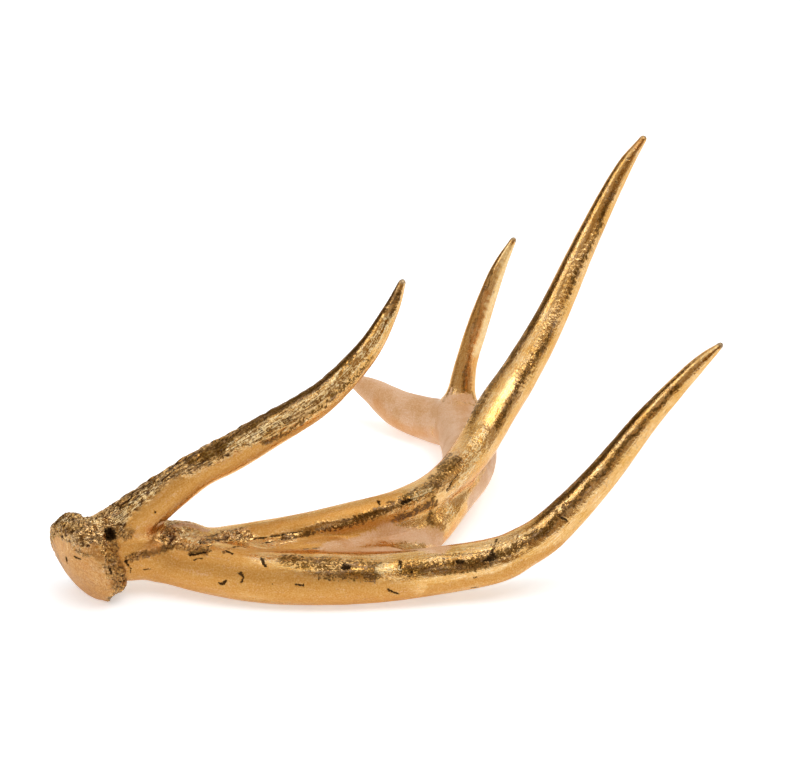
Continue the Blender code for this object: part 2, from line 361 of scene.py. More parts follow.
# tubes along the limbs and a disc for the burr, grown together by a voxel remesh
def roughBlank():
    parts = []
    for name in limbs:
        line = lines[name]
        curve = bpy.data.curves.new(name, "CURVE")
        curve.dimensions = "3D"
        curve.bevel_depth = 1.0
        curve.bevel_resolution = skin["tubeSteps"]
        curve.use_fill_caps = True
        spline = curve.splines.new("POLY")
        spline.points.add(len(line) - 1)
        for point, (x, y, z, radius) in zip(spline.points, line):
            point.co = (x, y, z, 1.0)
            point.radius = radius
        parts.append(link(bpy.data.objects.new(name, curve)))
    outward = Vector(burr["outward"]).normalized()
    disc = bmesh.new()
    bmesh.ops.create_cone(disc, cap_ends=True, segments=skin["discSides"], radius1=burr["radius"] * mm,
                          radius2=burr["radius"] * mm, depth=burr["thickness"] * mm)
    turn = outward.to_track_quat("Z", "Y").to_matrix().to_4x4()
    bmesh.ops.transform(disc, matrix=turn, verts=disc.verts)
    middle = (Vector(burr["faceCentre"]) - outward * burr["thickness"] / 2) * mm
    bmesh.ops.translate(disc, vec=middle, verts=disc.verts)
    for item in parts:
        disc.from_mesh(plainCopy(item))
        bpy.data.objects.remove(item)
    mesh = bpy.data.meshes.new("blank")
    disc.to_mesh(mesh)
    disc.free()
    blank = link(bpy.data.objects.new("blank", mesh))
    grow = blank.modifiers.new("grow", "REMESH")
    grow.mode = "VOXEL"
    grow.voxel_size = skin["voxel"] * mm
    grown = plainCopy(blank)
    bpy.data.objects.remove(blank)
    return grown


def vectorsOf(collection, name):  # a mesh's vectors as an array of rows
    values = np.empty(len(collection) * 3)
    collection.foreach_get(name, values)
    return values.reshape(-1, 3)


def settle(mesh):  # moves the rough skin onto the antler's form
    for _ in range(skin["settleRounds"]):
        points = vectorsOf(mesh.vertices, "co")
        normals = vectorsOf(mesh.vertex_normals, "vector")
        step = np.clip(antlerGap(points), -skin["settleStep"] * mm, skin["settleStep"] * mm)
        points -= normals * step[:, None]
        mesh.vertices.foreach_set("co", points.ravel())
        mesh.update()


def smoothed(mesh, rounds):  # eases what the voxels left of their steps
    item = link(bpy.data.objects.new("skin", mesh))
    ease = item.modifiers.new("ease", "SMOOTH")
    ease.iterations = rounds
    ease.factor = skin["smoothShare"]
    done = plainCopy(item)
    bpy.data.objects.remove(item)
    return done


print("growing the skin")
antlerMesh = roughBlank()
settle(antlerMesh)
antlerMesh = smoothed(antlerMesh, skin["smoothRounds"])
print("skin points", len(antlerMesh.vertices))


# where the surface is pearled, matt, bare or marked, kept as attributes on the skin
look = {
    "browPearl": (120, 330),  # mm along the brow tine, over which its pearling dies out
    "browPearlSide": (-0.55, -0.45, 0.7),  # the side of it that is pearled, up and to the left
    "browPearlTurn": (0.1, 0.45),  # how squarely the skin must look that way
    "browPearlClear": (-0.1, 0.4),  # levels of a satin stroke between which the pearls end
    "beamPearl": (70, 120),  # mm along the beam, over which its pearling dies out
    "beamPearlTurn": (0.35, 0.7),  # how squarely the skin must look up
    "beamPearlShare": 0.8,
    "ringPearl": (2, 9),  # mm behind the burr, over which the coronet's pearls die out
    "beamMatte": (430, 490),  # mm along the beam, over which its leaf turns matt
    "matteMost": 1.5,  # past 1, so that a matt place stays whole where noise breaks its edge
    "matteRise": 2,  # how steeply a matt stroke comes up to that
    "pitDark": 1.6,  # how far the dark of the pit spills over its rim, in radii
    "burrMargin": 8,  # mm round the burr that its masks reach
    "faceTurn": (0.35, 0.6),  # how squarely the skin must look along the burr's axis to be shed face
    "faceDepth": (-8, -2),  # mm behind the burr's front, between which the face begins
    "faceDrop": 8,  # mm that the smooth face sits below the burr's middle
    "faceRim": (35, 40),  # mm from its own middle to where it ends
    "markTaper": 0.6,  # how far a mark thins towards its end
    "patinaAndReflectionShare": 0.6,  # the patina and painted dark reflection never go all the way, so that gold still glints in them
    "patinaAndReflectionFade": 40,  # mm along a limb, over which a stripe of patina and painted dark reflection begins and ends
    "glintShare": 0.55,  # how much of a flecked place the painted glints cover
    "satin": {"rear": 0.2, "point": 0.4, "trez": 0.1},  # how evenly the leaf is worn on a limb
    "calm": {"rear": 1.0, "point": 0.5, "trez": 0.25, "bez": 0.1},  # how smooth it lies there
    "satinCalm": 0.7,  # and how smooth wherever it is evenly worn
    "tips": ("bez", "trez", "brow", "point", "rear"),
    "tipBare": 6,  # mm of bare tip on each tine
}

# where a painted mask begins and where it is full, from below 0 off the stroke to 1 on its line
edges = {
    "crust": (-0.05, 0.25),
    "face": (-0.1, 0.3),
    "crumple": (-0.3, 0.5),
    "warm": (-0.5, 0.8),
    "satin": (-0.1, 0.5),
    "calm": (-0.1, 0.4),
}

# darker stripes, patina and painted dark reflection on the side that faces one way: the limb, the way they
# face, how squarely they must face it, from where to where they run along the limb in mm, and how dark they
# are
patinaAndDarkReflection = [
    ("bez", (-0.75, 0.22, 0.62), (0.60, 0.82), (360, 560), 0.7),
    ("trez", (-0.87, 0.17, 0.46), (0.70, 0.88), (330, 560), 0.55),
    ("brow", (-0.7, 0.1, 0.7), (0.62, 0.85), (150, 400), 0.8),
]

# what the photograph shows on the side that it sees: lines through its pixels, and a radius in mm
strokes = {
    "mark": [  # chips, slits and cracks, dark to the ground
        ([(107, 534), (114, 538)], 4.5), ([(490, 559), (494, 555)], 4.5),
        ([(492, 552), (497, 539)], 1.9), ([(484, 561), (490, 560)], 1.8),
        ([(458, 562), (462, 562)], 2.8), ([(345, 567), (348, 567)], 4.3),
        ([(262, 559), (265, 566)], 2.5), ([(240, 573), (243, 577), (241, 582)], 2.3),
        ([(226, 581), (222, 584), (219, 583)], 2.0), ([(296, 584), (303, 586), (304, 582)], 1.3),
        ([(319, 577), (319, 580)], 1.4), ([(328, 580), (331, 580)], 1.2),
        ([(388, 590), (399, 594)], 2.1), ([(400, 561), (401, 569)], 1.6), ([(411, 572)], 2.0),
        ([(273, 584)], 1.0), ([(155, 512)], 1.8), ([(75, 557), (80, 559)], 1.7),
        ([(66, 557), (67, 563)], 1.9), ([(126, 561), (129, 566)], 2.0), ([(110, 569), (111, 574)], 1.6),
        ([(130, 568), (131, 574)], 1.2), ([(122, 575), (123, 582)], 1.3),
        ([(119, 581), (130, 580)], 1.4), ([(144, 570), (150, 569)], 1.1),
        ([(190, 555), (205, 553)], 1.5), ([(193, 560), (202, 558)], 1.1),
        ([(200, 541), (200, 545)], 1.3), ([(206, 547), (212, 545)], 1.6),
        ([(233, 547), (237, 546)], 1.9), ([(227, 551), (233, 554)], 1.5),
        ([(378, 501), (380, 505)], 2.0), ([(402, 503), (410, 500)], 2.8), ([(629, 159)], 1.6),
        ([(617, 182)], 1.4), ([(253, 539), (275, 536), (303, 531)], 1.3),
        ([(241, 546), (268, 542), (300, 537), (330, 531)], 1.0),
        ([(447, 490), (452, 482), (458, 474)], 1.5), ([(494, 292)], 1.2),
        ([(474, 578), (478, 577)], 1.1), ([(472, 588), (479, 587)], 1.2),
        ([(562, 518), (568, 521)], 1.6),
    ],
    "patinaAndDarkReflection": [  # leaf rubbed thin over the dark ground, and painted dark reflection bands
        ([(282, 538), (305, 534), (325, 530), (345, 525)], 3.5),
        ([(345, 524), (366, 517), (390, 507), (412, 499)], 6.5),
        ([(410, 499), (430, 487), (441, 474), (457, 459)], 8.0),
        ([(145, 553), (157, 549), (172, 547)], 4.5), ([(395, 519), (412, 513), (434, 502)], 6.0),
        ([(436, 503), (430, 522)], 6.0),
        ([(205, 455), (240, 433), (270, 413), (300, 397), (330, 375), (352, 355)], 6.0),
        ([(262, 444), (285, 434), (305, 419), (330, 400), (350, 382), (362, 370), (372, 358)], 3.5),
        ([(190, 462), (205, 459), (222, 453)], 3.0), ([(285, 558), (305, 562), (325, 566)], 9.0),
        ([(325, 566), (345, 569), (372, 570)], 13.0),
        ([(403, 569), (430, 568), (465, 566), (485, 562)], 8.0),
        ([(497, 556), (520, 545), (545, 529), (562, 512)], 6.5),
        ([(53, 541), (58, 560), (65, 570)], 3.5), ([(303, 549), (360, 549)], 1.5),
        ([(447, 455), (440, 470)], 6.0), ([(497, 428), (506, 408), (520, 382), (545, 345)], 4.0),
        ([(545, 345), (572, 286), (600, 224), (613, 192)], 3.5),
        ([(464, 402), (465, 380), (469, 350), (474, 328)], 3.0),
        ([(380, 318), (390, 303), (397, 291)], 3.0), ([(399, 294), (393, 312), (384, 328)], 2.5),
        ([(188, 554), (206, 552)], 3.0), ([(226, 552), (238, 546)], 3.0),
        ([(474, 328), (483, 295), (493, 272)], 2.0), ([(392, 296), (383, 310)], 4.0),
        ([(566, 508), (585, 490), (604, 471), (620, 451)], 4.0),
        ([(620, 451), (639, 427), (657, 408), (679, 386)], 2.8),
    ],
    "matte": [  # places that the burnisher never reached
        ([(325, 547), (345, 543), (365, 538), (385, 533)], 8.0),
        ([(385, 534), (410, 536), (438, 538)], 15.0), ([(345, 545), (440, 546)], 12.0),
        ([(335, 549), (390, 550), (440, 549)], 12.0),
        ([(496, 453), (487, 477), (470, 505), (446, 541)], 12.0),
        ([(430, 412), (450, 412), (462, 424), (446, 437)], 26.0),
        ([(160, 524), (185, 524), (207, 530)], 6.0), ([(447, 402), (451, 390)], 4.5),
        ([(447, 400), (462, 398), (471, 400)], 9.0),
    ],
    "satin": [  # smooth, evenly worn leaf
        ([(120, 560), (170, 572), (230, 575)], 30.0), ([(230, 575), (300, 592), (400, 596)], 20.0),
        ([(135, 530), (160, 505), (185, 488)], 14.0),
        ([(185, 488), (210, 475), (240, 459), (262, 449)], 9.0),
        ([(255, 450), (285, 437), (310, 425), (335, 406), (352, 388)], 4.5),
        ([(250, 530), (400, 494)], 5.0), ([(262, 531), (300, 522), (345, 511), (392, 500)], 8.0),
        ([(430, 590), (500, 576), (560, 545)], 7.0),
        ([(240, 552), (300, 546), (350, 535), (400, 518), (430, 503)], 7.0),
        ([(300, 538), (345, 531), (385, 517)], 5.0),
    ],
    "crumple": [  # leaf laid in small sharp folds
        ([(482, 432), (470, 460), (455, 490), (445, 515)], 10.0), ([(180, 540), (200, 540)], 10.0),
        ([(380, 569), (396, 569)], 9.0), ([(400, 567), (520, 545)], 8.0),
        ([(410, 500), (440, 476), (458, 455)], 9.0), ([(520, 385), (560, 305), (600, 228)], 6.0),
    ],
    "calm": [  # leaf without a wrinkle
        ([(245, 530), (300, 521), (350, 510), (400, 494), (440, 468)], 8.0),
        ([(500, 540), (550, 503), (600, 445)], 4.0),
        ([(250, 548), (300, 543), (345, 530), (380, 518), (410, 508), (430, 498)], 5.0),
        ([(430, 553), (490, 548)], 5.0), ([(420, 588), (500, 575), (560, 545), (620, 480)], 16.0),
    ],
    "paintedHighlight": [  # painted highlights: near-white leaf where the light glints
        ([(378, 569), (397, 569)], 7.5), ([(463, 453), (466, 449)], 3.0),
        ([(473, 466), (479, 453)], 5.5), ([(461, 485), (469, 472)], 5.0),
        ([(449, 510), (452, 518)], 2.5), ([(477, 352), (488, 314), (500, 276), (510, 249)], 8.5),
    ],
    "paintedGlints": [  # painted glints, broken into flecks

        ([(232, 446), (252, 437), (275, 424), (302, 407), (330, 387), (358, 361), (374, 342),
          (388, 318)], 7.0),
        ([(484, 428), (472, 458), (456, 488), (450, 512)], 9.0), ([(183, 533), (196, 543)], 8.0),
        ([(414, 498), (430, 488)], 5.0), ([(62, 522), (100, 524)], 8.0), ([(118, 520), (150, 490)], 8.0),
    ],
    "warm": [  # red ground shining through; along the underside of the beam's point, a painted warm floor reflection
        ([(376, 404), (390, 421), (412, 433), (438, 438)], 9.0), ([(152, 545), (152, 528)], 7.0),
        ([(470, 485), (482, 470)], 7.0), ([(84, 566)], 7.0), ([(445, 540), (455, 525)], 6.0),
        ([(637, 148), (642, 141)], 4.0), ([(469, 384), (474, 350), (481, 320), (489, 295)], 7.0),
    ],
    "crust": [  # pearls and grains of the coronet and the beam's root
        ([(58, 521), (100, 523)], 7.5), ([(60, 529), (102, 534)], 5.5), ([(84, 538), (103, 540)], 3.0),
        ([(112, 548), (114, 562), (117, 580), (117, 592)], 8.0), ([(104, 522), (124, 532)], 9.0),
        ([(129, 559), (148, 553), (166, 547)], 4.5), ([(166, 542), (172, 530)], 7.0),
        ([(208, 541), (225, 537), (243, 533)], 9.0), ([(178, 546), (205, 551)], 4.0),
    ],
    "face": [  # the smooth face where the antler came off the skull
        ([(58, 542), (96, 551)], 7.0), ([(60, 553), (98, 562)], 8.0), ([(68, 566), (99, 574)], 8.0),
        ([(78, 578), (104, 584)], 8.0), ([(92, 592), (109, 592)], 6.0),
    ],
}


def setAttribute(mesh, name, values):  # a number or a vector for each point
    kind = "FLOAT" if values.ndim == 1 else "FLOAT_VECTOR"
    attribute = mesh.attributes.new(name, kind, "POINT")
    key = "value" if values.ndim == 1 else "vector"
    attribute.data.foreach_set(key, values.astype(np.float32).ravel())


# how a stroke is laid on the skin, with an edge that is never straight
brush = {
    "seed": 3,
    "waveSizes": (1.0, 0.6, 0.4, 0.3),  # waves of the stroke's edge, as shares of the largest
    "wavesOfEach": 3,
    "waveTurns": 3.6,  # how tightly they follow one another
    "wavePhase": 6,  # radians, the most that one is ahead of another
    "waveReach": 0.06,  # how far they push the edge, as a share of their size
    "markWave": 3,  # mm, the size of the largest wave at the edge of a mark
    "strokeWave": 2.4,  # and at the edge of a stroke, in radii
    "mostWave": 8,  # mm
    "strokeReach": 2.5,  # radii from a stroke within which points are measured
}


def wobble(points, size):  # an uneven push at each point
    chance = random.Random(brush["seed"])
    push = np.zeros_like(points)
    for share in brush["waveSizes"]:
        for _ in range(brush["wavesOfEach"]):
            wave, toward = (np.array([chance.gauss(0, 1) for _ in range(3)]) for _ in range(2))
            phase = chance.uniform(0, brush["wavePhase"])
            turn = points @ (wave * brush["waveTurns"] / (size * share)) + phase
            push += np.sin(turn)[:, None] * toward * share
    return push * size * brush["waveReach"]


# 1 on the line that the pixels draw on the skin, and 0 a radius away from it
def strokeOn(points, tree, pixels, radius, taper):
    start = Vector(camera["place"])
    hits = [tree.ray_cast(start, pixelRay(camera, *pixel))[0] for pixel in pixels]
    hits = np.array([tuple(hit) for hit in hits if hit is not None])
    value = np.full(len(points), -1.0)
    if not len(hits):
        return value
    reach = brush["strokeReach"] * radius
    inside = (points > hits.min(axis=0) - reach) & (points < hits.max(axis=0) + reach)
    near = np.flatnonzero(inside.all(axis=1))
    waves = brush["markWave"] * mm if taper else min(brush["strokeWave"] * radius, brush["mostWave"] * mm)
    local = points[near] + wobble(points[near], waves)
    for count, (a, b) in enumerate(zip(hits, [*hits[1:], hits[-1]])):
        span = max((b - a) @ (b - a), 1e-12)
        along = np.clip((local - a) @ (b - a) / span, 0, 1)
        away = np.linalg.norm(local - a - along[:, None] * (b - a), axis=1)
        width = radius * (1 - taper * (count + along) / len(hits))
        value[near] = np.maximum(value[near], 1 - away / width)
    return value


def paintLook(mesh):  # stores every mask on the skin, for the material and the relief
    points = vectorsOf(mesh.vertices, "co")
    gap, grain = limbGap(points, "beam", True)
    weights = {"beam": np.ones(len(points))}
    runs = {"beam": grain[:, 0].copy()}
    for name in list(limbs)[1:]:
        newGap, newGrain = limbGap(points, name, True)
        share = shareOf(gap, newGap, limbs[name]["fillet"] * mm)
        gap = softUnion(gap, newGap, limbs[name]["fillet"] * mm)
        grain = grain * share[:, None] + newGrain * (1 - share[:, None])
        for known in weights:
            weights[known] = weights[known] * share
        weights[name] = 1 - share
        runs[name] = newGrain[:, 0]
    setAttribute(mesh, "grain", grain)

    normals = vectorsOf(mesh.vertex_normals, "vector")
    tree = BVHTree.FromPolygons([tuple(p) for p in points], [tuple(f.vertices) for f in mesh.polygons])
    painted = {}
    for name, marks in strokes.items():
        painted[name] = np.full(len(points), -1.0)
        for pixels, radius in marks:
            taper = look["markTaper"] if name == "mark" else 0.0
            painted[name] = np.maximum(painted[name], strokeOn(points, tree, pixels, radius * mm, taper))
    soft = {name: smoothStep(painted[name], *edge) for name, edge in edges.items()}

    # the smooth shed face, ringed by pearls
    spread, height, outward, *_ = burrPlace(points)
    nearBurr = (points[:, 0] < burr["limit"]) & (spread < (burr["radius"] + look["burrMargin"]) * mm)
    face = smoothStep(normals @ outward, *look["faceTurn"])
    face = face * smoothStep(height / mm, *look["faceDepth"]) * nearBurr
    lowSpread = burrPlace(points, look["faceDrop"])[0]
    face = face * (1 - smoothStep(lowSpread / mm, *look["faceRim"]))
    face = np.maximum(face, soft["face"]) * (1 - soft["crust"])
    behind = np.clip(-height / mm, 0, None) - burr["thickness"]
    ring = nearBurr * (1 - face) * (1 - smoothStep(behind, *look["ringPearl"]))

    # pearls on the upper left of the brow tine and on top of the beam's root
    upLeft = normals @ np.array(Vector(look["browPearlSide"]).normalized())
    browPearl = weights["brow"] * smoothStep(upLeft, *look["browPearlTurn"])
    browPearl = browPearl * (1 - smoothStep(runs["brow"] / mm, *look["browPearl"]))
    browPearl = browPearl * (1 - smoothStep(painted["satin"], *look["browPearlClear"]))
    beamAlong = runs["beam"] / mm
    beamPearl = (weights["beam"] + weights["knuckle"]) * smoothStep(normals[:, 2], *look["beamPearlTurn"])
    beamPearl = beamPearl * (1 - smoothStep(beamAlong, *look["beamPearl"])) * look["beamPearlShare"]
    setAttribute(mesh, "pearl", np.clip(np.maximum(ring + browPearl + beamPearl, soft["crust"]), 0, 1))
    setAttribute(mesh, "shedFace", face)
    setAttribute(mesh, "crumple", soft["crumple"])

    # matt, marked and evenly worn leaf, painted highlights and glints
    most = look["matteMost"]
    matte = np.maximum(weights["point"] * most, np.minimum(painted["matte"] * look["matteRise"], most))
    matteBeam = weights["beam"] * smoothStep(beamAlong, *look["beamMatte"]) * most
    setAttribute(mesh, "matte", np.maximum(matte, matteBeam))
    # the pit and a ring round it are darkened through the mark mask
    pitAway = np.linalg.norm(points - np.array(pit["centre"]) * mm, axis=1)
    inPit = look["pitDark"] - pitAway / (pit["radius"] * mm)
    setAttribute(mesh, "mark", np.maximum(painted["mark"], inPit))
    setAttribute(mesh, "paintedHighlight", np.maximum(painted["paintedHighlight"], np.minimum(painted["paintedGlints"], look["glintShare"])))
    setAttribute(mesh, "warm", soft["warm"])
    satinLimbs = sum(weights[limb] * share for limb, share in look["satin"].items())
    satin = np.maximum(soft["satin"], satinLimbs)
    setAttribute(mesh, "satin", satin)
    calmLimbs = sum(weights[limb] * share for limb, share in look["calm"].items())
    calm = np.maximum(soft["calm"], calmLimbs)
    setAttribute(mesh, "calm", np.clip(np.maximum(calm, satin * look["satinCalm"]), 0, 1))

    # patina and painted dark reflection, in stripes and strokes
    dark = np.zeros(len(points))
    fade = look["patinaAndReflectionFade"]
    for limb, toward, squarely, (begin, end), strength in patinaAndDarkReflection:
        facing = smoothStep(normals @ np.array(Vector(toward).normalized()), *squarely)
        run = runs[limb] / mm
        window = smoothStep(run, begin, begin + fade) * (1 - smoothStep(run, end - fade, end))
        dark = np.maximum(dark, facing * window * weights[limb] * strength)
    setAttribute(mesh, "patinaAndDarkReflection", np.maximum(dark, np.minimum(painted["patinaAndDarkReflection"], look["patinaAndReflectionShare"])))
    setAttribute(mesh, "scaly", weights["brow"])

    tip = np.zeros(len(points))
    for name in look["tips"]:
        end = lines[name][-1, :3]
        tip = np.maximum(tip, 1 - np.linalg.norm(points - end, axis=1) / (look["tipBare"] * mm))
    setAttribute(mesh, "tip", tip)


paintLook(antlerMesh)
print("looks painted")


# gold leaf laid by hand over a red-brown ground on antler, burnished where the tool could reach:
# mirror-bright on the swells, wrinkled where it was laid in folds, matt and pink where never burnished,
# dark where rubbed through; painted dark reflections, shade between pearls and highlights lie in its colour
leaf = {
    "gold": "#E2BA7F",
    "goldDeep": "#D5A55C",  # where two leaves overlap
    "satinGold": "#D29D53",  # evenly worn
    # the red-brown ground, also used as painted shade in the gaps between the pearls
    "ground": "#472A12",
    # colour of the patina and of the painted dark reflection bands
    "patinaAndDarkReflection": "#5C3C0B",
    "paintedHighlight": "#FFE2A6",  # painted highlight, a near-white leaf
    "edgeOn": "#FFE6C6",  # gold seen at a low angle
    # red ground, and the painted warm floor reflection under the beam's point
    "warm": "#D89A58",
    "bare": "#E4BC97",  # leaf that was never burnished
    "bareDeep": "#DAAC7F",
    "tip": "#A08765",
    "shed": "#C89456",
    "shedDeep": "#BB854C",
    "hole": "#21140A",
    "roughness": 0.14,  # burnished gold
    "satinRoughness": 0.36,  # more on worn and matt leaf, and on the patina and painted dark reflection
    "markRoughness": 0.4,  # more in chips and cracks
    "coat": 0.25,  # the thin glaze over burnished leaf
    "coatRoughness": 0.12,
    "foldSize": 3.8,  # mm across a fold of the leaf
    "relief": 0.7,  # mm that the wrinkles seem to stand
    "fineContrast": 1.6,  # how strongly grit and brush marks darken the gold
    "fineGrit": 0.9,  # the grit's share of that
    "fineLevel": 1.04,  # the gamma between their hollows and crests
    "dullHair": 0.7,  # how far dull leaf loses its brush marks
    "patchRoughness": 0.1,  # how much one leaf may be rougher than another
    "wornMost": 0.75,  # how far the ground shows where the folds are worn through
    "wornCalm": 0.7,  # how much the painted highlights break up where the leaf isn't calm
    "highlightBroken": 2.6,  # how much new leaf breaks up where it isn't calm
    "highlightFrom": 0.4,  # the level from which it shows there
    # the real wrinkles are finer than the render shows, so these are drawn as coarse as they need be:
    # stretch along, across and through the limb (or none), mm across, detail, roughness, distortion
    "patterns": {
        "streaks": ((0.12, 1.0, 1.0), 3.6, 4, 0.55, 0.0),
        "patches": (None, 26, 3, 0.55, 0.0),  # single leaves, a little lighter or deeper
        "crinkles": (None, 3.8, 3, 0.55, 1.0),
        "grit": (None, 1.4, 3, 0.6, 0.0),
        "hair": ((0.1, 1.0, 1.0), 1.1, 3, 0.6, 0.0),  # fine brush marks along the limb
        "ladder": ((1.0, 0.3, 0.3), 2.4, 2, 0.5, 0.4),  # wrinkles that cross it
    },
    "cover": {  # how far each finish covers the gold
        "pearlGaps": 0.55,
        # painted shade in the gaps between the pearls
        "crevice": 0.9,
        "patinaAndDarkReflection": 0.95,
        "warm": 0.7,
        "paintedHighlight": 0.8,
        "shedFace": 0.75,
        "mark": 0.93,
    },
    "shedPatinaAndReflection": 0.6,  # how far the patina and painted dark reflection cover the shed face
    "dulls": {  # how much of the metal's shine each finish takes away
        "matte": 0.92,
        "shedFace": 0.375,
        "satin": 0.45,
        "patinaAndDarkReflection": 0.1,
        "paintedHighlight": 0.6,
        "mark": 1.0,
        "tip": 0.6,
    },
    "heights": {"crinkles": 0.9, "folds": 0.55, "streaks": 0.8, "ladder": 0.3},  # shares of the relief
    "fineHeights": {"grit": 0.14, "hair": 0.2},
    "depth": 0.5,  # how high the wrinkles stand in plain leaf
    "deeper": {"crumple": 1.5, "pearl": 0.7},  # and how much more in these
    "calmDepth": 0.8,  # the share that calm leaf loses
    "tones": {  # a pattern, and the levels between which it fades in
        "gold": ("patches", 0.35, 0.65),
        "bare": ("patches", 0.4, 0.6),
        "shed": ("streaks", 0.4, 0.6),
        "wornFolds": ("crinkles", 0.60, 0.74),
        "wornStreaks": ("streaks", 0.45, 0.62),
        "pearlGaps": ("crinkles", 0.60, 0.40),
    },
    "masks": ("pearl", "matte", "tip", "mark", "shedFace", "crevice", "patinaAndDarkReflection", "satin", "crumple",
              "paintedHighlight", "warm", "calm"),
}


def gildedMaterial(name):
    material = bpy.data.materials.new(name)
    material.use_nodes = True
    tree = material.node_tree
    add = partial(addNode, tree)
    shader = tree.nodes["Principled BSDF"]
    place = add("ShaderNodeTexCoord").outputs["Object"]
    grain = add("ShaderNodeAttribute", attribute_name="grain").outputs["Vector"]
    masks = {}
    for key in leaf["masks"]:
        masks[key] = add("ShaderNodeAttribute", attribute_name=key).outputs["Fac"]
    calm = masks["calm"]
    cover = leaf["cover"]

    patterns = {}
    for key, (stretch, size, detail, rough, distortion) in leaf["patterns"].items():
        along = add("ShaderNodeVectorMath", (grain, stretch), operation="MULTIPLY") if stretch else place
        patterns[key] = add("ShaderNodeTexNoise", {
            "Vector": along, "Scale": 1 / (size * mm), "Detail": detail,
            "Roughness": rough, "Distortion": distortion})
    patterns["folds"] = add("ShaderNodeTexVoronoi", {
        "Vector": place, "Scale": 1 / (leaf["foldSize"] * mm)}, feature="F1")
    tones = {}
    for key, (source, low, high) in leaf["tones"].items():
        tones[key] = add("ShaderNodeMapRange", (patterns[source], low, high), interpolation_type="SMOOTHSTEP")

    # each mask's edge is broken up by patterns, cut between two levels, and kept near its own strokes
    brokenUp = weighedSum(tree, leaf["highlightBroken"], (calm, -leaf["highlightBroken"]))
    highlightStart = weighedSum(tree, leaf["highlightFrom"], (calm, -leaf["highlightFrom"]))
    broken = {
        "patinaAndDarkReflection": ({"crinkles": 3.0, "hair": 2.0, "grit": 2.2}, (0.12, 0.55), (0.0, 0.15)),
        "matte": ({"crinkles": 1.2, "grit": 0.8, "streaks": 1.8}, (0.0, 1.2), None),
        "paintedHighlight": ({"crinkles": brokenUp, "hair": brokenUp}, (highlightStart, 0.9), (-0.3, 0.3)),
        "tip": ({"crinkles": 0.6}, (0.25, 0.5), None),
        "mark": ({"grit": 1.7}, (0.0, 0.45), (-0.3, 0.1)),
    }
    for key, (breaks, levels, near) in broken.items():
        edge = masks[key]
        for source, amount in breaks.items():
            push = add("ShaderNodeMath", (patterns[source], 0.5), operation="SUBTRACT")
            push = add("ShaderNodeMath", (push, amount), operation="MULTIPLY")
            edge = add("ShaderNodeMath", (edge, push), operation="ADD")
        cut = add("ShaderNodeMapRange", (edge, *levels), interpolation_type="SMOOTHSTEP")
        if near:
            held = add("ShaderNodeMapRange", (masks[key], *near), interpolation_type="SMOOTHSTEP")
            cut = add("ShaderNodeMath", (cut, held), operation="MULTIPLY")
        masks[key] = cut

    # the leaf, layer by layer
    worn = add("ShaderNodeMath", (tones["wornFolds"], tones["wornStreaks"]), operation="MULTIPLY")
    wornShare = weighedSum(tree, leaf["wornMost"], (calm, -leaf["wornCalm"]))
    worn = add("ShaderNodeMath", (worn, wornShare), operation="MULTIPLY")
    pearlDark = add("ShaderNodeMath", (masks["pearl"], tones["pearlGaps"]), operation="MULTIPLY")
    ground = linear(leaf["ground"])
    patinaAndDarkReflection = linear(leaf["patinaAndDarkReflection"])
    gold = layered(tree, linear(leaf["gold"]), (tones["gold"], 1.0, linear(leaf["goldDeep"])),
                   (masks["satin"], 1.0, linear(leaf["satinGold"])), (worn, 1.0, ground),
                   (pearlDark, cover["pearlGaps"], ground), (masks["crevice"], cover["crevice"], ground),
                   (masks["patinaAndDarkReflection"], cover["patinaAndDarkReflection"], patinaAndDarkReflection))
    bare = layered(tree, linear(leaf["bare"]), (tones["bare"], 1.0, linear(leaf["bareDeep"])))
    shed = layered(tree, linear(leaf["shed"]), (tones["shed"], 1.0, linear(leaf["shedDeep"])),
                   (masks["patinaAndDarkReflection"], leaf["shedPatinaAndReflection"], patinaAndDarkReflection))
    colour = layered(tree, gold, (masks["matte"], 1.0, bare),
                     (masks["warm"], cover["warm"], linear(leaf["warm"])),
                     (masks["paintedHighlight"], cover["paintedHighlight"], linear(leaf["paintedHighlight"])),
                     (masks["shedFace"], cover["shedFace"], shed),
                     (masks["tip"], 1.0, linear(leaf["tip"])))

    # grit and brush marks deepen the colour in their hollows, less so on worn or matt leaf
    dull = add("ShaderNodeMath", (masks["matte"], masks["satin"]), operation="MAXIMUM")
    gritty = add("ShaderNodeMath", (patterns["grit"], 0.5), operation="SUBTRACT")
    hairy = add("ShaderNodeMath", (patterns["hair"], 0.5), operation="SUBTRACT")
    clear = weighedSum(tree, 1.0, (dull, -leaf["dullHair"]))
    hairy = add("ShaderNodeMath", (hairy, clear), operation="MULTIPLY")
    fine = weighedSum(tree, hairy, (gritty, leaf["fineGrit"]))
    fine = weighedSum(tree, leaf["fineLevel"], (fine, -leaf["fineContrast"]))
    colour = add("ShaderNodeGamma", {"Color": colour, "Gamma": fine})
    colour = layered(tree, colour, (masks["mark"], cover["mark"], linear(leaf["hole"])))

    metal = weighedSum(tree, 1.0, *[(masks[key], -share) for key, share in leaf["dulls"].items()])
    metal.use_clamp = True
    shedFace = weighedSum(tree, 0.0, (masks["shedFace"], cover["shedFace"]))
    satin = add("ShaderNodeMath", (dull, shedFace), operation="MAXIMUM")
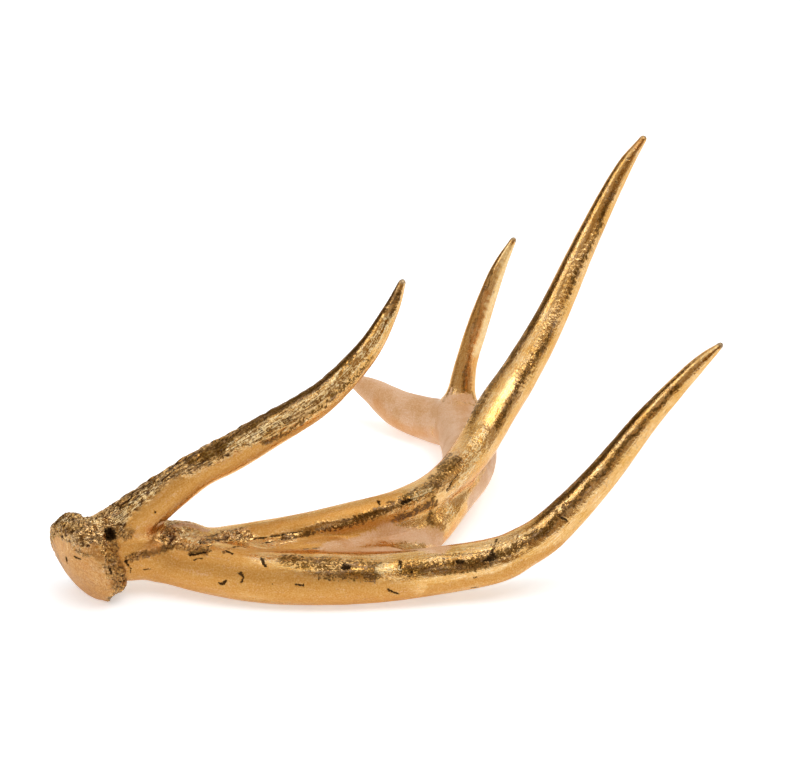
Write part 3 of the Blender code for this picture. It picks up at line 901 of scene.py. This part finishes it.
    # the patina and painted dark reflection are rougher and bear no glaze
    patinaAndReflectionRough = weighedSum(tree, 0.0, (masks["patinaAndDarkReflection"], 0.7))
    satin = add("ShaderNodeMath", (satin, patinaAndReflectionRough), operation="MAXIMUM")
    uneven = leaf["patchRoughness"]
    rough = weighedSum(tree, leaf["roughness"] - uneven / 2, (patterns["patches"], uneven),
                       (satin, leaf["satinRoughness"]), (masks["mark"], leaf["markRoughness"]))
    rough.use_clamp = True
    glazed = weighedSum(tree, leaf["coat"], (masks["mark"], -leaf["coat"]))
    burnished = weighedSum(tree, 1.0, (satin, -1.0))
    outsidePatinaAndReflection = weighedSum(tree, 1.0, (masks["patinaAndDarkReflection"], -1.0))
    coat = add("ShaderNodeMath", (burnished, glazed), operation="MULTIPLY", use_clamp=True)
    coat = add("ShaderNodeMath", (coat, outsidePatinaAndReflection), operation="MULTIPLY")

    # the wrinkles stand high in crumpled leaf and between pearls, and hardly at all in calm leaf
    height = weighedSum(tree, 0.0, *[(patterns[key], share) for key, share in leaf["heights"].items()])
    depth = weighedSum(tree, leaf["depth"], *[(masks[key], share) for key, share in leaf["deeper"].items()])
    kept = weighedSum(tree, 1.0, (calm, -leaf["calmDepth"]))
    depth = add("ShaderNodeMath", (depth, kept), operation="MULTIPLY")
    height = add("ShaderNodeMath", (height, depth), operation="MULTIPLY")
    height = weighedSum(tree, height, *[(patterns[key], share) for key, share in leaf["fineHeights"].items()])
    bump = add("ShaderNodeBump", {"Strength": 1.0, "Distance": leaf["relief"] * mm, "Height": height})
    setInputs(tree, shader, {
        "Base Color": colour,
        "Metallic": metal,
        "Roughness": rough,
        "Specular IOR Level": weighedSum(tree, 0.5, (masks["mark"], -0.5)),
        "Specular Tint": linear(leaf["edgeOn"]),
        "Coat Weight": coat,
        "Coat Roughness": leaf["coatRoughness"],
        "Normal": bump,
    })
    return material


gilt = gildedMaterial("water gilt antler")


# fine relief moved into the skin: pearls on the coronet and tine roots, and grooves along the limbs
relief = {
    "Pearl Size": 3.4 * mm,
    "Pearl Height": 1.8 * mm,
    "Groove Width": 7.0 * mm,
    "Groove Depth": 0.55 * mm,
    "Lump Size": 22.0 * mm,
    "Lump Height": 0.7 * mm,
    "Mark Depth": 0.7 * mm,
    "Warp Size": 1 / 140.0,  # metres, about 7 mm: the waves that bend the rows of pearls
    "Warp Reach": 6.0 * mm,  # how far they bend them
}


def reliefTree(material):
    tree = bpy.data.node_groups.new("antler relief", "GeometryNodeTree")
    tree.interface.new_socket(name="Geometry", in_out="INPUT", socket_type="NodeSocketGeometry")
    for name, value in relief.items():
        socket = tree.interface.new_socket(name=name, in_out="INPUT", socket_type="NodeSocketFloat")
        socket.default_value = value
    tree.interface.new_socket(name="Geometry", in_out="OUTPUT", socket_type="NodeSocketGeometry")
    add = partial(addNode, tree)
    given = add("NodeGroupInput").outputs
    place = add("GeometryNodeInputPosition")
    normal = add("GeometryNodeInputNormal")
    grain = add("GeometryNodeInputNamedAttribute", {"Name": "grain"}, data_type="FLOAT_VECTOR")
    masks = {}
    for name in ("pearl", "scaly", "crumple", "mark"):
        masks[name] = add("GeometryNodeInputNamedAttribute", {"Name": name}, data_type="FLOAT")
    scales = {}
    for name in ("Pearl Size", "Groove Width", "Lump Size", "Warp Size"):
        scales[name] = add("ShaderNodeMath", (1.0, given[name]), operation="DIVIDE")

    # pearls: domes of uneven size, in rows that wind about, but along the limb on the scaly tine
    warp = add("ShaderNodeTexNoise", {"Vector": place, "Scale": scales["Warp Size"], "Detail": 2.0})
    warp = add("ShaderNodeVectorMath", (warp.outputs["Color"], (0.5, 0.5, 0.5)), operation="SUBTRACT")
    warp = add("ShaderNodeVectorMath", {0: warp, "Scale": given["Warp Reach"]}, operation="SCALE")
    warped = add("ShaderNodeVectorMath", (place, warp), operation="ADD")
    lengthwise = add("ShaderNodeVectorMath", (grain, (0.32, 1.0, 1.0)), operation="MULTIPLY")
    laid = add("ShaderNodeMix", {0: masks["scaly"], 4: warped, 5: lengthwise}, data_type="VECTOR").outputs[1]
    cells = add("ShaderNodeTexVoronoi", {"Vector": laid, "Scale": scales["Pearl Size"]}, feature="F1")
    away = add("ShaderNodeMath", (cells, 2.0), operation="POWER")
    dome = weighedSum(tree, 1.0, (away, -1.6))
    dome.use_clamp = True
    uneven = weighedSum(tree, 0.45, (add("FunctionNodeSeparateColor", (cells.outputs["Color"],)), 0.75))
    dome = add("ShaderNodeMath", (dome, uneven), operation="MULTIPLY")
    pearls = add("ShaderNodeMath", (dome, masks["pearl"]), operation="MULTIPLY")
    gaps = weighedSum(tree, 1.0, (dome, -2.2))
    gaps.use_clamp = True
    # the gaps between the pearls, which the material paints dark as painted shade
    crevice = add("ShaderNodeMath", (masks["pearl"], gaps), operation="MULTIPLY")

    # grooves along the limb, deeper where the leaf is crumpled, and broad low lumps
    drawn = add("ShaderNodeVectorMath", (grain, (0.07, 1.0, 1.0)), operation="MULTIPLY")
    groove = add("ShaderNodeTexNoise", {
        "Vector": drawn, "Scale": scales["Groove Width"], "Detail": 3.0, "Roughness": 0.5})
    groove = add("ShaderNodeMath", (groove, 0.5), operation="SUBTRACT")
    crumpled = add("ShaderNodeMath", (0.8, masks["crumple"]), operation="ADD")
    groove = add("ShaderNodeMath", (groove, crumpled), operation="MULTIPLY")
    lump = add("ShaderNodeTexNoise", {"Vector": place, "Scale": scales["Lump Size"], "Detail": 2.0})
    lump = add("ShaderNodeMath", (lump, 0.5), operation="SUBTRACT")
    mark = add("ShaderNodeMapRange", (masks["mark"], 0.0, 0.7), interpolation_type="SMOOTHSTEP")
    sunk = add("ShaderNodeMath", (mark, given["Mark Depth"]), operation="MULTIPLY")

    rise = weighedSum(tree, 0.0, (pearls, given["Pearl Height"]), (groove, given["Groove Depth"]),
                      (lump, given["Lump Height"]))
    rise = add("ShaderNodeMath", (rise, sunk), operation="SUBTRACT")
    push = add("ShaderNodeVectorMath", {0: normal, "Scale": rise}, operation="SCALE")
    moved = add("GeometryNodeSetPosition", {"Geometry": given["Geometry"], "Offset": push})
    stored = add("GeometryNodeStoreNamedAttribute", {
        "Geometry": moved, "Name": "crevice", "Value": crevice}, data_type="FLOAT")
    whole = add("GeometryNodeRealizeInstances", (stored,))
    painted = add("GeometryNodeSetMaterial", {"Geometry": whole, "Material": material})
    add("NodeGroupOutput", (painted,))
    return tree


def addTree(item, tree, values):  # puts a node tree on an object and sets its named inputs
    modifier = item.modifiers.new(tree.name, "NODES")
    modifier.node_group = tree
    for socket in tree.interface.items_tree:
        if socket.in_out == "INPUT" and socket.name in values:
            modifier[socket.identifier] = values[socket.name]
    return modifier


skinItem = link(bpy.data.objects.new("antlerSkin", antlerMesh))
addTree(skinItem, reliefTree(gilt), relief)
reliefMesh = plainCopy(skinItem)
bpy.data.objects.remove(skinItem)


def keepInBox(mesh):  # lies flat on the table and stays within the solids' box
    points = vectorsOf(mesh.vertices, "co")
    points = np.clip(points, np.array(cadLow) + skin["inset"], np.array(cadHigh) - skin["inset"])
    mesh.vertices.foreach_set("co", points.ravel())
    mesh.update()


keepInBox(reliefMesh)
print("relief made")


# the skin is parted at the forks, so that each piece stands for one solid:
# the limb that is cut, where along it, and how far round that place the cut reaches, in mm
forks = {
    "burr": ("beam", 84, 51),
    "brow": ("brow", 66, 32),
    "bez": ("bez", 285, 37),
    "trez": ("trez", 372, 38),
    "beam": ("beam", 492, 42),
    "point": ("point", 34, 43),
    "rear": ("rear", 38, 26),
}
# the piece that stands for each solid, and a place on it: a limb and a distance along that in mm
pieces = {
    "burr": ("burrSkin", "beam", 20),
    "lower_beam": ("lowerBeamSkin", "beam", 300),
    "brow_tine": ("browTineSkin", "brow", 250),
    "bez_tine": ("bezTineSkin", "bez", 480),
    "trez_tine": ("trezTineSkin", "trez", 600),
    "upper_beam": ("upperBeamSkin", "beam", 540),
    "beam_point": ("beamPointSkin", "point", 120),
    "rear_tine": ("rearTineSkin", "rear", 150),
}


def placeAlong(name, distance):  # a point on a limb's centre line, and its direction there
    line = lines[name]
    lengths = np.linalg.norm(np.diff(line[:, :3], axis=0), axis=1)
    run = np.concatenate([[0.0], np.cumsum(lengths)])
    index = max(min(int(np.searchsorted(run, distance * mm)), len(line) - 1), 1)
    direction = Vector(line[index, :3] - line[index - 1, :3]).normalized()
    return Vector(line[index, :3]), direction


def partAtForks(mesh):  # cuts the skin at each fork and closes both cut ends
    shape = bmesh.new()
    shape.from_mesh(mesh)
    for limb, distance, reach in forks.values():
        centre, direction = placeAlong(limb, distance)
        near = [f for f in shape.faces if (f.calc_center_median() - centre).length < reach * mm]
        geometry = dict.fromkeys(near)
        for face in near:
            geometry.update(dict.fromkeys(face.edges))
            geometry.update(dict.fromkeys(face.verts))
        cut = bmesh.ops.bisect_plane(shape, geom=list(geometry), dist=1e-7,
                                     plane_co=centre, plane_no=direction)
        rim = [item for item in cut["geom_cut"] if isinstance(item, bmesh.types.BMEdge)]
        bmesh.ops.split_edges(shape, edges=rim)
        openEdges = [edge for edge in shape.edges if edge.is_boundary]
        bmesh.ops.holes_fill(shape, edges=openEdges, sides=0)
    bmesh.ops.triangulate(shape, faces=[face for face in shape.faces if len(face.verts) > 4])
    shape.to_mesh(mesh)
    shape.free()


def looseMeshes(mesh):  # each closed body as an object of its own
    item = link(bpy.data.objects.new("parted", mesh))
    bpy.ops.object.select_all(action="DESELECT")
    bpy.context.view_layer.objects.active = item
    item.select_set(True)
    bpy.ops.mesh.separate(type="LOOSE")
    return [found for found in bpy.context.scene.objects if found.name.startswith("parted")]


def thin(body):  # a body with too many faces is lightened
    faces = sum(len(f.vertices) - 2 for f in body.data.polygons)
    if faces > skin["mostFaces"]:
        lighten = body.modifiers.new("lighten", "DECIMATE")
        lighten.ratio = skin["mostFaces"] / faces
        mesh = plainCopy(body)
        body.modifiers.clear()
        body.data = mesh


def namePieces(bodies):  # finds the body for each solid and hands it to the frame
    for node, (name, limb, distance) in pieces.items():
        place = placeAlong(limb, distance)[0]
        near = []
        for body in bodies:
            points = vectorsOf(body.data.vertices, "co")
            near.append(np.linalg.norm(points - np.array(place), axis=1).min())
        body = bodies[int(np.argmin(near))]
        body.name = name
        body.data.name = name
        body.data.shade_smooth()
        body.data.set_sharp_from_angle(angle=math.radians(skin["sharpAngle"]))
        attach(body, "root")
        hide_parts(node)
        print(name, sum(len(f.vertices) - 2 for f in body.data.polygons))


partAtForks(reliefMesh)
bodies = looseMeshes(reliefMesh)
for body in bodies:
    thin(body)
namePieces(bodies)


# a plain white floor in a bright studio, with a softbox on each side and two black flags
studio = {
    "floor": "#F6FAFF",
    "floorSize": 20,  # metres from its middle to its edge
    "floorDrop": 0.3,  # mm below the antler's feet
    "floorGlow": 0.45,  # its own light, as paper lit from all sides
    "wall": "#FFFFFF",  # what the camera sees beyond the floor
    "light": "#FFFFFF",
    "shade": "#FFC973",  # the dark corners of the room are a warm brown
    "shadeRange": (0.22, 0.68),  # from the light that is all brown to that which is all white
    "room": 0.5,  # light from everywhere
    "darkest": 0.04,  # even a flag gives a little light
    "lamps": {  # angles in degrees: the way to each, its bright middle and its outer edge
        "backdrop": {"azimuth": 0, "elevation": 14, "inner": 20, "outer": 42, "strength": 0.5},
        "dome": {"azimuth": 0, "elevation": 90, "inner": 18, "outer": 42, "strength": 0.65},
        "highRight": {"azimuth": 115, "elevation": 65, "inner": 10, "outer": 25, "strength": 2.5},
        "leftSoftbox": {"azimuth": -108, "elevation": 48, "inner": 4, "outer": 14, "strength": 2.4},
        "leftFlag": {"azimuth": -60, "elevation": 28, "inner": 8, "outer": 29, "strength": -0.45},
        "rightFlag": {"azimuth": 145, "elevation": 33, "inner": 12, "outer": 38, "strength": -0.27},
    },
}


def makeFloor(s):
    shape = bmesh.new()
    bmesh.ops.create_grid(shape, x_segments=1, y_segments=1, size=s["floorSize"])
    mesh = bpy.data.meshes.new("floor")
    shape.to_mesh(mesh)
    shape.free()
    material = bpy.data.materials.new("white studio paper")
    material.use_nodes = True
    setInputs(material.node_tree, material.node_tree.nodes["Principled BSDF"], {
        "Base Color": linear(s["floor"]),
        "Roughness": 0.9,
        "Specular IOR Level": 0.1,
        "Emission Color": linear(s["floor"]),
        "Emission Strength": s["floorGlow"],
    })
    mesh.materials.append(material)
    floor = link(bpy.data.objects.new("floor", mesh))
    floor.location = (0, 0, -s["floorDrop"] * mm)


def towards(azimuth, elevation):  # azimuth 0 is straight back from the camera, positive to the right
    a, e = math.radians(azimuth), math.radians(elevation)
    return (math.sin(a) * math.cos(e), math.cos(a) * math.cos(e), math.sin(e))


def glow(tree, direction, lamp):  # a soft round patch of light, or of dark, in one direction
    way = towards(lamp["azimuth"], lamp["elevation"])
    toward = addNode(tree, "ShaderNodeVectorMath", (direction, way), operation="DOT_PRODUCT")
    return addNode(tree, "ShaderNodeMapRange", {
        "Value": toward.outputs["Value"], "From Min": math.cos(math.radians(lamp["outer"])),
        "From Max": math.cos(math.radians(lamp["inner"])), "To Max": lamp["strength"]},
        interpolation_type="SMOOTHSTEP")


def makeStudio(s):
    makeFloor(s)
    world = bpy.data.worlds.new("studio")
    bpy.context.scene.world = world
    world.use_nodes = True
    tree = world.node_tree
    tree.nodes.clear()
    add = partial(addNode, tree)
    direction = add("ShaderNodeTexCoord").outputs["Generated"]
    level = s["room"]
    for lamp in s["lamps"].values():
        level = add("ShaderNodeMath", (glow(tree, direction, lamp), level), operation="ADD")
    level = add("ShaderNodeMath", (level, s["darkest"]), operation="MAXIMUM")
    bright = add("ShaderNodeMapRange", (level, *s["shadeRange"]))
    tint = layered(tree, linear(s["shade"]), (bright, 1.0, linear(s["light"])))
    room = add("ShaderNodeBackground", {"Color": tint, "Strength": level})
    seen = add("ShaderNodeBackground", {"Color": linear(s["wall"]), "Strength": 1.0})
    byCamera = add("ShaderNodeLightPath").outputs["Is Camera Ray"]
    add("ShaderNodeOutputWorld", (add("ShaderNodeMixShader", (byCamera, room, seen)),))
    bpy.context.scene.view_settings.view_transform = "Standard"


makeCamera(camera)
makeStudio(studio)
print("studio made")
